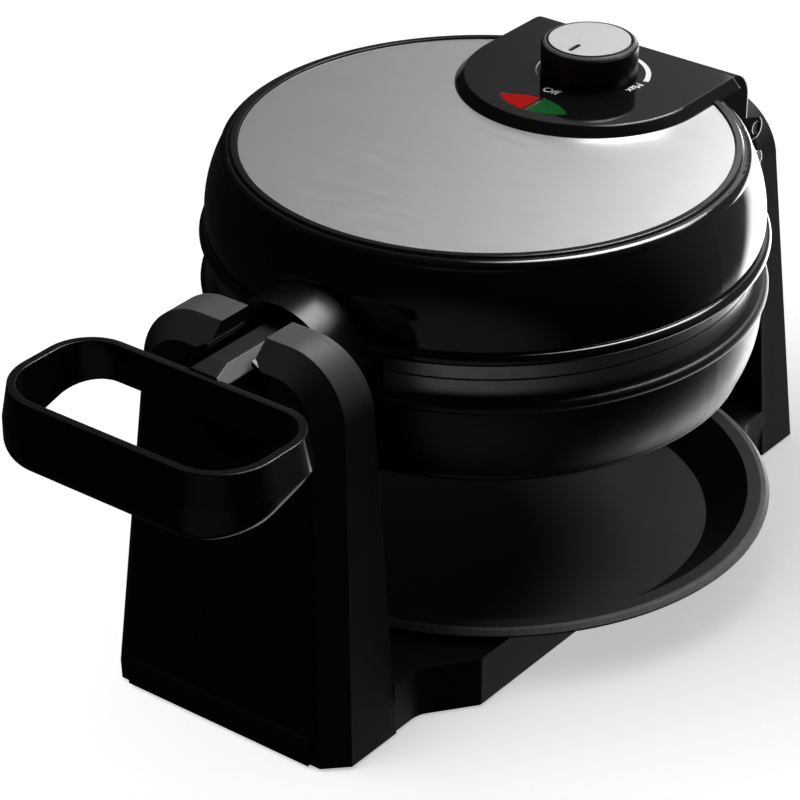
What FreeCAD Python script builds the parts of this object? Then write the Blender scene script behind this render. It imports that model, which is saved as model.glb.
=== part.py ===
import FreeCAD, Part
import math
import os

# Rotating waffle maker, millimetres. Built round the middle of the cooking head (x = 0, y = 0),
# with the handle towards -Y and the table at z = 0, then centred on its own footprint.

# Heights of the stand
flip_clear = 9.3
foot_clear = 1.5
feet_height = 3.0
bottom_sheet = 2.0

# The two posts
post_half_low = 61.0
post_taper = 0.073
post_slant = 0.075
post_wall = 3.0
post_arch = 28.0
post_chamfer = 9.0
cover_sheet = 2.5
front_gap = 4.0
front_depth = 37.5
rear_gap = 1.5
rear_depth = 33.5
rear_relief = 8.0
lip_height = 13.0
lip_depth = 1.5
lip_slope = 4.0
lip_half = 47.0
screw_boss = 4.5
boss_height = 22.0

# Front bearing
slot_half = 11.0
journal_r = 22.4
running_fit = 0.1
bush_wall = 2.0
journal_length = 20.0

# Rear bearing
trunnion_r = 13.0
trunnion_bore = 8.0
rear_bush_wall = 2.5
rear_bush_lip = 2.0
rear_bush_lip_sheet = 1.5
rear_boss_length = 5.0
rear_boss_wall = 2.5
washer_sheet = 1.2
stop_arm_width = 4.0
stop_arm_half = 3.0
stop_arm_reach = 20.5
stop_wall = 3.5
stop_gap = 0.4
clip_sheet = 1.2
clip_reach = 4.0
end_play = 0.3
trunnion_foot_r = 16.5
trunnion_foot_sheet = 3.0

# Base bridge and drip tray
bridge_half = 76.0
bridge_neck_half = 60.0
bridge_top = 24.0
bridge_wall = 2.5
bridge_neck_length = 15.25
bridge_flare_length = 21.0
bridge_round = 12.0
bridge_corner = 3.0
tray_r = 122.5
tray_middle_y = 4.0
tray_seat = 14.0
tray_sheet = 2.2
tray_floor_r = 98.0
tray_rim_low = 28.5
tray_rim_top = 31.0
tray_rim_width = 9.5
tray_rim_chamfer = 1.8
tray_clear = 0.5
sheet_half = 52.0
sheet_fit = 0.5
base_screw_x = 48.0
boss_web = 2.0
foot_pad_r = 8.0
foot_x = 34.0

# Mains entry in the rear post
gland_r = 8.0
gland_bore = 3.6
gland_height = 34.0
gland_collar = 2.0
gland_collar_sheet = 1.5
gland_length = 16.0
terminal_long = 34.0
terminal_wide = 14.0
terminal_tall = 16.0

# Cooking head, radii and heights above its split plane
split_gap = 0.6
plate_rim_in = 6.0
rim_top = 8.0
bead_r = 118.5
bead_bulge = 2.6
bead_height = 5.5
wall_foot_in = 2.7
wall_middle_in = 3.6
wall_middle_h = 31.0
crown_in = 9.0
crown_round = 3.5
shell_h = 49.0
shell_wall = 2.6
lip_in = 12.5
lip_sheet = 3.0
disc_in = 17.0
disc_sheet = 1.0
disc_gap = 0.5
disc_proud = 0.3
ledge_width = 6.0
ledge_sheet = 2.0
trim_width = 3.6
trim_height = 1.0

# Grid plates
well_in = 25.5
well_slope = 3.0
well_depth = 13.0
plate_sheet = 3.0
plate_back_in = 21.5
peg_pitch = 20.0
peg_foot = 11.0
peg_tip = 8.0
peg_low = 2.5
peg_in = 10.0
plate_boss_r = 4.0
plate_boss_h = 8.0
plate_boss_in = 8.0
plate_bosses = 4

# Heating elements and reflectors
heater_r = 52.0
heater_tube = 3.2
heater_gap_deg = 70.0
heater_seat = 0.1
heater_pin_r = 1.5
heater_pin = 10.0
reflector_in = 6.0
reflector_sheet = 0.8
screw_r = 1.5
screw_head_r = 3.2
screw_head = 2.0
screw_fit = 0.05
screw_length = 6.0

# Front collar, neck and handle loop
collar_length = 16.5
collar_root = 22.5
collar_front_r = 30.0
collar_back_r = 32.0
neck_half = 10.0
neck_top_half = 4.5
neck_top = 21.5
neck_shoulder = 17.0
neck_tenon = 16.0
tenon_fit = 0.1
loop_half = 63.2
loop_gap = 10.1875
loop_depth = 63.5
loop_far_round = 22.0
loop_near_round = 27.0
loop_rim = 19.0
loop_bulge_h = 5.0
loop_rim_inset = 2.5
loop_wall = 6.0
loop_low_far = 4.5
loop_tilt = 0.26
loop_round = 6.0
core_half = 4.0
core_low = 3.0
core_tall = 8.0
core_into_loop = 3.0
core_end_wall = 2.0

# Hinge at the back of the head
hinge_back = 4.0
hinge_h = 22.0
hinge_pin_r = 2.5
hinge_ear_r = 5.0
stud_r = 2.2
stud_shoulder_r = 3.2
stud_cap_r = 4.0
stud_cap = 2.0
stud_head_r = 3.0
stud_head = 1.2
stud_ahead = 0.9
stud_h = 7.8
bracket_gap = 1.5
bracket_sheet = 3.0
bracket_half = 43.5
bracket_ear = 3.5
bracket_low = 32.0
bracket_high = 13.0
pad_half = 40.0
pad_low = 34.0
pad_high = 14.0
bracket_screw_x = 30.0
bracket_screw_h = 24.0
hinge_fit = 0.1
pin_end_gap = 0.3

# Control panel on the lid
panel_half = 51.5
panel_in = 47.5
panel_rise = 4.0
panel_flare = 4.0
panel_wall = 2.2
skirt_gap = 1.0
skirt_low = 14.0
skirt_round = 13.0
cheek = 6.0
lens_front_in = 92.3
lens_depth = 13.6
lens_half = 17.0
lens_gap = 2.2
lens_fit = 0.1
lens_sheet = 2.0
lamp_r = 3.0
lamp_length = 16.0
lamp_x = 8.0
holder_wall = 2.0
holder_tall = 5.0
panel_screw_x = 40.0
panel_screw_in = 38.5
panel_boss_r = 4.0

# Knob and thermostat
knob_in = 45.0
knob_r = 20.7
knob_h = 14.2
knob_clear = 0.6
knob_wall = 2.0
knob_cap_r = 17.4
knob_cap_gap = 0.6
knob_cap_sheet = 1.2
knob_cap_proud = 0.3
knob_hub_r = 6.0
knob_chamfer = 1.6
pointer_r = 1.1
pointer_length = 5.6
pointer_at = 11.4
pointer_depth = 0.8
shaft_r = 3.0
shaft_fit = 0.1
thermostat_half = 11.0
thermostat_front = 12.0
thermostat_back = 14.0
thermostat_sheet = 1.5
thermostat_roof = 20.0
stack_long = 8.0
stack_half = 5.0
blade_sheet = 0.6
blade_half = 3.5
blade_h = 9.0
blade_gap = 0.3
blade_front = 10.0
tip_gap = 0.5
cutout_clear = 2.0
fuse_r = 2.5
fuse_long = 20.0
fuse_y = 30.0

V = FreeCAD.Vector
X_AXIS = V(1, 0, 0)
Y_AXIS = V(0, 1, 0)
Z_AXIS = V(0, 0, 1)

# Worked-out sizes
vast = 1000.0
axis_height = tray_seat + tray_sheet + flip_clear + bead_r
plate_rim_r = bead_r - plate_rim_in
lip_r = bead_r - lip_in
disc_r = bead_r - disc_in
well_mouth_r = bead_r - well_in
well_floor_r = well_mouth_r - well_slope
peg_reach = well_floor_r - peg_in
plate_boss_circle = well_floor_r - plate_boss_in
plate_back_r = bead_r - plate_back_in
reflector_r = plate_back_r - reflector_in
panel_middle_y = bead_r - panel_in
panel_screw_y = bead_r - panel_screw_in
lens_front_y = bead_r - lens_front_in
lens_rear_y = lens_front_y + lens_depth
knob_y = bead_r - knob_in
wall_foot_r = bead_r - wall_foot_in
wall_middle_r = bead_r - wall_middle_in
crown_r = bead_r - crown_in
collar_front = bead_r + collar_length
collar_back = bead_r - collar_root
front_inner = collar_front + front_gap
journal_reach = front_gap + journal_length
bracket_y = bead_r + bracket_gap
hinge_y = bracket_y + bracket_sheet + hinge_back
rear_inner = hinge_y + hinge_ear_r + rear_gap
skirt_rear_y = bracket_y - skirt_gap
panel_rear_y = skirt_rear_y - skirt_round
loop_far = front_inner + front_depth - post_slant * (axis_height - foot_clear) + loop_gap
loop_near = loop_far + loop_depth
bore_r = journal_r + running_fit
arch_top = axis_height + post_arch
sheet_low = feet_height
sheet_high = feet_height + bottom_sheet
half_gap = split_gap / 2
bead_top = rim_top + bead_height
disc_seat_r = disc_r + disc_gap
disc_top = shell_h + disc_proud
ledge_top = disc_top - disc_sheet
plate_back = well_depth + plate_sheet
reflector_low = plate_back + plate_boss_h
reflector_top = reflector_low + reflector_sheet
panel_top = disc_top + panel_rise
hinge_z = axis_height + hinge_h
footprint_shift = (loop_near - rear_inner - rear_depth) / 2


# Drawing helpers

def on_xz(u, v):
    return V(u, 0, v)


def on_yz(u, v):
    return V(0, u, v)


def on_xy(u, v):
    return V(u, v, 0)


def outline(plane, start, *steps):
    """Face inside lines and arcs: a step is an end point, or a (middle, end) pair for an arc."""
    edges = []
    here = start
    for step in steps + (start,):
        if isinstance(step[0], tuple):
            end = step[1]
            edges.append(Part.Arc(plane(*here), plane(*step[0]), plane(*end)).toShape())
        elif math.dist(here, step) > 1e-6:
            end = step
            edges.append(Part.LineSegment(plane(*here), plane(*end)).toShape())
        here = end
    return Part.Face(Part.Wire(edges))


def spun(start, *steps):
    """Outline of radius and height turned once round the vertical axis."""
    return outline(on_xz, start, *steps).revolve(V(0, 0, 0), Z_AXIS, 360)


def box(x0, x1, y0, y1, z0, z1):
    return Part.makeBox(x1 - x0, y1 - y0, z1 - z0, V(x0, y0, z0))


def rod(radius, length, x, y, z, along):
    return Part.makeCylinder(radius, length, V(x, y, z), along)


def on_arc(centre, radius, angle_deg):
    """Point on a circle, for the middle of an arc."""
    angle = math.radians(angle_deg)
    return (centre[0] + radius * math.cos(angle), centre[1] + radius * math.sin(angle))


def upper(shape):
    """A lid piece drawn above the split plane, raised to the turning axis."""
    return shape.translated(V(0, 0, axis_height))


def lower(shape):
    """The same, turned over to hang below the split plane."""
    return shape.mirror(V(0, 0, 0), Z_AXIS).translated(V(0, 0, axis_height))


def above_split(shape):
    return shape.common(box(-vast, vast, -vast, vast, axis_height + half_gap, vast))


def below_split(shape):
    return shape.common(box(-vast, vast, -vast, vast, -vast, axis_height - half_gap))


def screw(x, y, z, along):
    """Pan-head screw whose head sits on the point and whose shank runs along the direction."""
    head = Part.makeCylinder(screw_head_r, screw_head, V(x, y, z) - along * screw_head, along)
    return head.fuse(Part.makeCylinder(screw_r, screw_length, V(x, y, z), along))


def screw_hole(x, y, z, along, length):
    return Part.makeCylinder(screw_r + screw_fit, length, V(x, y, z), along)


# Posts, drawn with the inner face on y = 0 and the outside towards +Y

def post_half(z, inset):
    return post_half_low - post_taper * (z - foot_clear) - inset


def post_face(depth, z, inset):
    return depth - post_slant * (z - foot_clear) - inset


def post_block(depth, relief, inset, inner):
    """Tapered block with an arched top and a chamfered outside edge; inset gives its cavity."""
    low = foot_clear
    radius = post_arch - inset
    top = arch_top - inset
    side = post_half(axis_height, inset)
    middle = side - radius
    right = (on_arc((middle, axis_height), radius, 45), (middle, top))
    left = (on_arc((-middle, axis_height), radius, 135), (-side, axis_height))
    front = outline(on_xz, (-post_half(low, inset), low), (post_half(low, inset), low),
                    (side, axis_height), right, (-middle, top), left)
    wide = front.extrude(Y_AXIS * (2 * depth))
    slope = outline(on_yz, (inner, low), (post_face(depth, low, inset), low),
                    (post_face(depth, top, inset), top), (inner, top))
    deep = slope.extrude(X_AXIS * (4 * post_half_low)).translated(X_AXIS * (-2 * post_half_low))
    block = wide.common(deep)
    rim = []
    for edge in block.Edges:
        on_face = all(abs(v.Y - post_face(depth, v.Z, inset)) < 1e-3 for v in edge.Vertexes)
        if on_face and max(v.Z for v in edge.Vertexes) > low + 1:
            rim.append(edge)
    block = block.makeChamfer(post_chamfer, rim)
    if relief == 0:
        return block
    wedge = outline(on_yz, (inner - 1, top - relief - 1), (inner + relief + 1, top + 1),
                    (inner - 1, top + 1))
    wedge = wedge.extrude(X_AXIS * (4 * post_half_low)).translated(X_AXIS * (-2 * post_half_low))
    return block.cut(wedge)


def keyhole(radius, half, depth):
    """Round bore on the turning axis with a slot that runs out through the top."""
    bore = rod(radius, 2 * depth, 0, -depth / 2, axis_height, Y_AXIS)
    return bore.fuse(box(-half, half, -depth / 2, 1.5 * depth, axis_height, 2 * axis_height))


def post_bosses(depth):
    """Two posts for the base screws, each joined to its side wall by a web."""
    bosses = []
    for side in (-1, 1):
        x = side * base_screw_x
        boss = rod(screw_boss, boss_height, x, depth / 2, sheet_high, Z_AXIS)
        web = box(min(x, 2 * x), max(x, 2 * x), (depth - boss_web) / 2, (depth + boss_web) / 2,
                  sheet_high, sheet_high + boss_height)
        hole = screw_hole(x, depth / 2, sheet_high, Z_AXIS, screw_length + 1)
        bosses.append(boss.fuse(web).cut(hole))
    return bosses


def facing_front(shape):
    return shape.rotated(V(0, 0, 0), Z_AXIS, 180).translated(Y_AXIS * -front_inner)


def facing_rear(shape):
    return shape.translated(Y_AXIS * rear_inner)


def post_cover(depth, relief):
    """Sheet that closes the side of a post towards the head, following its relief."""
    return post_block(depth, relief, 0, 0).cut(post_block(depth, relief, 0, cover_sheet))


def hollow_post(depth, relief):
    """Moulded post, open towards the head, where its cover goes."""
    outside = post_block(depth, relief, 0, cover_sheet)
    shell = outside.cut(post_block(depth, 0, post_wall, cover_sheet))
    for boss in post_bosses(depth):
        shell = shell.fuse(boss.common(outside))
    return shell


def front_post_shell():
    depth = front_depth
    outside = post_block(depth, 0, 0, cover_sheet)
    lining = keyhole(bore_r + bush_wall + post_wall, slot_half + post_wall, depth)
    shell = hollow_post(depth, 0).fuse(outside.common(lining))
    lip = outline(on_yz, (post_face(depth, foot_clear, post_wall), foot_clear),
                  (depth, foot_clear), (depth, lip_height - lip_slope),
                  (post_face(depth, lip_height, 0), lip_height),
                  (post_face(depth, lip_height, post_wall), lip_height))
    lip = lip.extrude(X_AXIS * (2 * lip_half)).translated(V(-lip_half, lip_depth, 0))
    shell = shell.fuse(lip).removeSplitter()
    shell = shell.cut(rod(bore_r + bush_wall, 2 * depth, 0, -depth / 2, axis_height, Y_AXIS))
    return facing_front(shell.cut(keyhole(bore_r, slot_half, depth)))


def front_post_cover():
    cover = post_cover(front_depth, 0)
    cover = facing_front(cover.cut(keyhole(bore_r + running_fit, slot_half, front_depth)))
    return cover.cut(plate_slot())


def front_saddle_bush():
    """Nylon C-ring that lines the bore and is open at the slot."""
    length = post_face(front_depth, arch_top, 0) - cover_sheet
    ring = rod(bore_r + bush_wall, length, 0, cover_sheet, axis_height, Y_AXIS)
    return facing_front(ring.cut(keyhole(bore_r, slot_half, front_depth)))


def rear_post_shell():
    shell = hollow_post(rear_depth, rear_relief)
    y = post_face(rear_depth, gland_height, 0) / 2
    return facing_rear(shell.cut(rod(gland_r, rear_depth, 0, y, gland_height, Y_AXIS)))


def rear_post_cover():
    bush_r = trunnion_r + running_fit + rear_bush_wall
    cover = post_cover(rear_depth, rear_relief)
    boss = rod(bush_r + rear_boss_wall, rear_boss_length, 0, 0, axis_height, Y_AXIS)
    cover = cover.fuse(boss).removeSplitter()
    cover = facing_rear(cover.cut(rod(bush_r, rear_depth, 0, -1, axis_height, Y_AXIS)))
    return cover.cut(plate_slot())


def rear_bearing_bush():
    bush_r = trunnion_r + running_fit + rear_bush_wall
    body = rod(bush_r, rear_boss_length, 0, 0, axis_height, Y_AXIS)
    lip = rod(bush_r + rear_bush_lip, rear_bush_lip_sheet, 0, rear_boss_length, axis_height, Y_AXIS)
    bore = rod(trunnion_r + running_fit, rear_depth, 0, -1, axis_height, Y_AXIS)
    return facing_rear(body.fuse(lip).cut(bore))


def flip_stop():
    """Arc wall below the trunnion; the stop arm meets its two ends half a turn apart."""
    inside = stop_arm_reach - stop_wall / 2
    length = rear_boss_length + rear_bush_lip_sheet + washer_sheet + end_play + stop_arm_width
    outer = rod(inside + stop_wall, length - cover_sheet, 0, cover_sheet, axis_height, Y_AXIS)
    wall = outer.cut(rod(inside, rear_depth, 0, 0, axis_height, Y_AXIS))
    end = axis_height - stop_arm_half - stop_gap
    return facing_rear(wall.common(box(-post_half_low, post_half_low, 0, rear_depth, 0, end)))


# Base

def bridge_outline(inset):
    """Plan of the low bridge: narrow at the posts, wide under the tray."""
    wide = bridge_half - inset
    narrow = bridge_neck_half - inset
    front = -front_inner + inset
    rear = rear_inner - inset
    front_waist = -front_inner + bridge_neck_length
    rear_waist = rear_inner - bridge_neck_length
    right = [(narrow, front), (narrow, front_waist), (wide, front_waist + bridge_flare_length),
             (wide, rear_waist - bridge_flare_length), (narrow, rear_waist), (narrow, rear)]
    points = right + [(-x, y) for x, y in reversed(right)]
    return outline(on_xy, *points)


def upright_edges(block):
    found = []
    for edge in block.Edges:
        ends = edge.Vertexes
        if len(ends) == 2 and abs(ends[0].X - ends[1].X) + abs(ends[0].Y - ends[1].Y) < 1e-6:
            found.append(edge)
    return found


def rounded_bridge(inset, low, high):
    block = bridge_outline(inset).extrude(Z_AXIS * (high - low)).translated(Z_AXIS * low)
    reach = front_inner - bridge_round / 2 - inset
    flank = bridge_half - inset
    inner = [e for e in upright_edges(block) if abs(abs(e.Vertexes[0].X) - flank) > 1e-3]
    inner = [e for e in inner if abs(e.Vertexes[0].Y) < reach]
    block = block.makeFillet(bridge_round, inner)
    outer = [e for e in upright_edges(block) if abs(abs(e.Vertexes[0].X) - flank) < 1e-3]
    return block.makeFillet(bridge_corner, outer)


def tray_hollow(grow, low):
    """Room for the tray in the bridge, down to the level it rests on."""
    slope = (tray_r - tray_rim_width - tray_floor_r) / (tray_rim_low - tray_seat)
    rise = 2 * bridge_top
    foot = tray_floor_r + tray_clear + grow
    hollow = spun((0, low), (foot, low), (foot + slope * (rise - low), rise), (0, rise))
    return hollow.translated(Y_AXIS * tray_middle_y)


def base_bridge():
    outside = rounded_bridge(0, foot_clear, bridge_top)
    cavity = rounded_bridge(bridge_wall, foot_clear, bridge_top - bridge_wall)
    cavity = cavity.cut(tray_hollow(bridge_wall, tray_seat - bridge_wall))
    bridge = outside.cut(tray_hollow(0, tray_seat)).cut(cavity).cut(plate_slot())
    for side in (-1, 1):
        x = side * bridge_neck_half
        boss = rod(screw_boss, tray_seat - bridge_wall - sheet_high, x, 0, sheet_high, Z_AXIS)
        bridge = bridge.fuse(boss).cut(screw_hole(x, 0, sheet_high, Z_AXIS, screw_length + 1))
    return bridge.removeSplitter()


def base_screw_places():
    places = []
    for y in (-front_inner - front_depth / 2, rear_inner + rear_depth / 2):
        for side in (-1, 1):
            places.append((side * base_screw_x, y))
    places.append((bridge_neck_half, 0))
    places.append((-bridge_neck_half, 0))
    return places


def plate_slot():
    """Room that the bottom plate takes as it runs from post to post under the bridge."""
    half = sheet_half + sheet_fit
    return box(-half, half, -2 * front_inner, 2 * rear_inner, 0, sheet_high)


def bottom_plate():
    """One steel sheet: a strip from post to post, wider where the bridge is wide."""
    front = -front_inner - post_face(front_depth, sheet_high, post_wall) + post_chamfer / 2 + sheet_fit
    rear = rear_inner + post_face(rear_depth, sheet_high, post_wall) - post_chamfer / 2 - sheet_fit
    strip = box(-sheet_half, sheet_half, front, rear, sheet_low, sheet_high)
    wide = bridge_half - bridge_wall - sheet_fit
    end = bridge_neck_length + bridge_flare_length + bridge_wall + sheet_fit
    middle = box(-wide, wide, -front_inner + end, rear_inner - end, sheet_low, sheet_high)
    sheet = strip.fuse(middle)
    for x, y in base_screw_places():
        sheet = sheet.cut(screw_hole(x, y, 0, Z_AXIS, bridge_top))
    return sheet.removeSplitter()


def rubber_feet():
    pads = []
    for x in (-foot_x, foot_x):
        for y in (-front_inner - front_depth / 2, rear_inner + rear_depth / 2):
            pads.append(rod(foot_pad_r, feet_height, x, y, 0, Z_AXIS))
    return Part.makeCompound(pads)


def base_screws():
    return Part.makeCompound([screw(x, y, sheet_low, Z_AXIS) for x, y in base_screw_places()])


def cord_gland():
    face = post_face(rear_depth, gland_height - gland_r - gland_collar, 0)
    body = rod(gland_r, gland_length, 0, face - gland_length, gland_height, Y_AXIS)
    inside = post_face(rear_depth, gland_height + gland_r, post_wall) - gland_collar_sheet
    collar = rod(gland_r + gland_collar, gland_collar_sheet, 0, inside - 0.5, gland_height, Y_AXIS)
    gland = body.fuse(collar).cut(rod(gland_bore, 3 * gland_length, 0, 0, gland_height, Y_AXIS))
    return facing_rear(gland)


def terminal_block():
    y = rear_inner + cover_sheet + 1
    block = box(-terminal_long / 2, terminal_long / 2, y, y + terminal_wide, sheet_high,
                sheet_high + terminal_tall)
    for n in (-1, 0, 1):
        x = n * terminal_long / 3
        block = block.cut(rod(screw_head_r, terminal_tall / 2, x, y + terminal_wide / 2,
                              sheet_high + terminal_tall / 2, Z_AXIS))
    return block


def drip_tray():
    inside_r = tray_r - tray_rim_width
    tray = spun((0, tray_seat), (tray_floor_r, tray_seat),
                (inside_r, tray_rim_low), (tray_r, tray_rim_low),
                (tray_r, tray_rim_top - tray_rim_chamfer), (tray_r - tray_rim_chamfer, tray_rim_top),
                (inside_r, tray_rim_top), (tray_floor_r - tray_sheet, tray_seat + tray_sheet),
                (0, tray_seat + tray_sheet))
    return tray.translated(Y_AXIS * tray_middle_y)


# Head shells and plates, drawn above the split plane

def side_wall(inset):
    """Bulging side of a shell from the bead up to the crown."""
    return (wall_middle_r - inset, wall_middle_h), (crown_r - inset, shell_h - crown_round)


def crown_steps():
    centre = (crown_r - crown_round, shell_h - crown_round)
    return on_arc(centre, crown_round, 45), (centre[0], shell_h)


def bead_steps():
    root = bead_r - bead_bulge
    return [(root, rim_top), ((bead_r, rim_top + bead_height / 2), (wall_foot_r, bead_top))]


def head_envelope():
    """All the room that one half of the head takes up."""
    rim = plate_rim_r + end_play
    return spun((0, 0), (rim, 0), (rim, rim_top), *bead_steps(), side_wall(0), crown_steps(), (0, shell_h))


def shell_inside(top):
    """Inside of a shell from its roof down to the lip that the plate bolts to."""
    foot = wall_foot_r - shell_wall
    roof_r = crown_r - shell_wall - crown_round
    return [(roof_r, top), (crown_r - shell_wall, top - crown_round),
            ((wall_middle_r - shell_wall, wall_middle_h), (foot, bead_top)),
            (foot, rim_top + lip_sheet), (lip_r, rim_top + lip_sheet)]


def upper_shell():
    roof = ledge_top - ledge_sheet
    ledge_r = disc_seat_r - ledge_width
    shell = spun((lip_r, rim_top), *bead_steps(), side_wall(0), crown_steps(), (disc_seat_r, shell_h),
                 (disc_seat_r, ledge_top), (ledge_r, ledge_top), (ledge_r, roof), *shell_inside(roof))
    return upper(shell)


def lower_shell():
    roof = shell_h - shell_wall
    shell = spun((lip_r, rim_top), *bead_steps(), side_wall(0), crown_steps(), (0, shell_h),
                 (0, roof), *shell_inside(roof))
    pad = box(-pad_half, pad_half, 0, bracket_y, pad_high, pad_low).cut(head_envelope())
    shell = shell.fuse(pad).removeSplitter()
    for x in (-bracket_screw_x, bracket_screw_x):
        start = bracket_y - screw_length - 1
        shell = shell.cut(screw_hole(x, start, bracket_screw_h, Y_AXIS, screw_length + 1))
    return lower(shell)


def peg():
    """One tapered waffle peg, foot down in the plate."""
    wires = []
    for half, h in ((peg_foot / 2, well_depth + plate_sheet / 2), (peg_tip / 2, peg_low)):
        corners = [V(-half, -half, h), V(half, -half, h), V(half, half, h), V(-half, half, h)]
        wires.append(Part.makePolygon(corners + corners[:1]))
    return Part.makeLoft(wires, True)


def boss_places():
    places = []
    for n in range(plate_bosses):
        angle = math.radians(360 * (n + 0.5) / plate_bosses)
        places.append((plate_boss_circle * math.cos(angle), plate_boss_circle * math.sin(angle)))
    return places


def grid_plate():
    """Cast plate with a round well of pegs on one face and screw bosses on its back."""
    plate = spun((well_mouth_r, half_gap), (plate_rim_r, half_gap), (plate_rim_r, rim_top),
                 (plate_back_r, rim_top), (plate_back_r - plate_sheet, plate_back), (0, plate_back),
                 (0, well_depth), (well_floor_r, well_depth))
    one = peg()
    count = int(peg_reach / peg_pitch) + 1
    extras = []
    for i in range(-count, count):
        for j in range(-count, count):
            x = (i + 0.5) * peg_pitch
            y = (j + 0.5) * peg_pitch
            if math.hypot(x, y) < peg_reach:
                extras.append(one.translated(V(x, y, 0)))
    for x, y in boss_places():
        extras.append(rod(plate_boss_r, plate_boss_h + plate_sheet / 2, x, y,
                          plate_back - plate_sheet / 2, Z_AXIS))
    plate = plate.multiFuse(extras).removeSplitter()
    for x, y in boss_places():
        plate = plate.cut(screw_hole(x, y, reflector_low - screw_length, Z_AXIS, screw_length + 1))
    return plate


def heater():
    """Sheathed ring on the back of a plate, open towards the hinge, with two upright pins."""
    level = plate_back + heater_tube + heater_seat
    section = Part.Face(Part.Wire(Part.makeCircle(heater_tube, V(heater_r, 0, level), Y_AXIS)))
    ring = section.revolve(V(0, 0, 0), Z_AXIS, 360 - heater_gap_deg)
    ring = ring.rotated(V(0, 0, 0), Z_AXIS, 90 + heater_gap_deg / 2)
    for side in (-1, 1):
        angle = math.radians(90 + side * (heater_gap_deg / 2 + 3))
        x = heater_r * math.cos(angle)
        y = heater_r * math.sin(angle)
        ring = ring.fuse(rod(heater_pin_r, heater_pin, x, y, level, Z_AXIS))
    return ring


def reflector(window):
    """Thin dish over the element, cut away where the thermostat stands."""
    sheet = rod(reflector_r, reflector_sheet, 0, 0, reflector_low, Z_AXIS)
    for x, y in boss_places():
        sheet = sheet.cut(screw_hole(x, y, plate_back, Z_AXIS, plate_back))
    for side in (-1, 1):
        angle = math.radians(90 + side * (heater_gap_deg / 2 + 3))
        pin = rod(2 * heater_pin_r, plate_back, heater_r * math.cos(angle),
                  heater_r * math.sin(angle), plate_back, Z_AXIS)
        sheet = sheet.cut(pin)
    if window:
        half = thermostat_half + cutout_clear
        sheet = sheet.cut(box(-half, half, knob_y - thermostat_front - cutout_clear,
                              knob_y + thermostat_back + cutout_clear, 0, 2 * plate_back))
    return sheet


def plate_screws():
    return Part.makeCompound([screw(x, y, reflector_top, -Z_AXIS) for x, y in boss_places()])


def steel_disc():
    disc = rod(disc_r, disc_sheet, 0, 0, ledge_top, Z_AXIS)
    disc = disc.cut(rod(knob_hub_r, disc_sheet, 0, knob_y, ledge_top, Z_AXIS))
    disc = disc.cut(box(-lens_half, lens_half, lens_front_y, lens_rear_y, ledge_top, disc_top))
    for x in (-panel_screw_x, panel_screw_x):
        disc = disc.cut(screw_hole(x, panel_screw_y, 0, Z_AXIS, 2 * shell_h))
    return upper(disc)


def disc_trim_ring():
    """Bright-edged ring on the crown round the steel disc."""
    inside = disc_seat_r
    ring = spun((inside, shell_h), (inside + trim_width, shell_h),
                (inside + trim_width * 0.7, shell_h + trim_height), (inside, shell_h + trim_height))
    return upper(ring.cut(panel_room()))


# Front collar and handle

def collar():
    length = collar_front - collar_back
    cone = Part.makeCone(collar_front_r, collar_back_r, length, V(0, -collar_front, axis_height), Y_AXIS)
    return cone.cut(upper(head_envelope())).cut(lower(head_envelope()))


def neck_section(fit):
    """Neck cross-section above the axis: flat top, sloped shoulders, upright sides."""
    half = neck_half + fit
    return outline(on_xz, (-half, axis_height + half_gap - fit), (half, axis_height + half_gap - fit),
                   (half, axis_height + neck_shoulder + fit),
                   (neck_top_half + fit, axis_height + neck_top + fit),
                   (-neck_top_half - fit, axis_height + neck_top + fit),
                   (-half, axis_height + neck_shoulder + fit))


def neck(fit, reach):
    """Neck from inside the collar to a distance in front of the axis middle."""
    back = collar_front - neck_tenon - fit
    return neck_section(fit).extrude(Y_AXIS * (back - reach)).translated(Y_AXIS * -back)


def handle_core_bar(fit):
    low = axis_height + core_low - fit
    return box(-core_half - fit, core_half + fit, -loop_far - core_into_loop - fit,
               -collar_front + neck_tenon - core_end_wall + fit, low, low + core_tall + 2 * fit)


def upper_collar():
    half = above_split(collar())
    return half.cut(neck(tenon_fit, collar_front + 1))


def lower_collar():
    """Lower half of the collar with the half-round journal that stays in the front bearing."""
    start = -collar_front - journal_reach
    journal = rod(journal_r, journal_reach + neck_tenon, 0, start, axis_height, Y_AXIS)
    return below_split(collar().fuse(journal))


def loop_outline(inset, z):
    """Rounded plan of the handle loop, larger corners on the grip side."""
    half = loop_half - inset
    far = -loop_far - inset
    near = -loop_near + inset
    rf = loop_far_round - inset
    rn = loop_near_round - inset
    face = outline(on_xy, (-half + rf, far),
                   (half - rf, far), (on_arc((half - rf, far - rf), rf, 45), (half, far - rf)),
                   (half, near + rn), (on_arc((half - rn, near + rn), rn, -45), (half - rn, near)),
                   (-half + rn, near), (on_arc((-half + rn, near + rn), rn, -135), (-half, near + rn)),
                   (-half, far - rf), (on_arc((-half + rf, far - rf), rf, 135), (-half + rf, far)))
    return face.translated(Z_AXIS * z)


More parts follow.
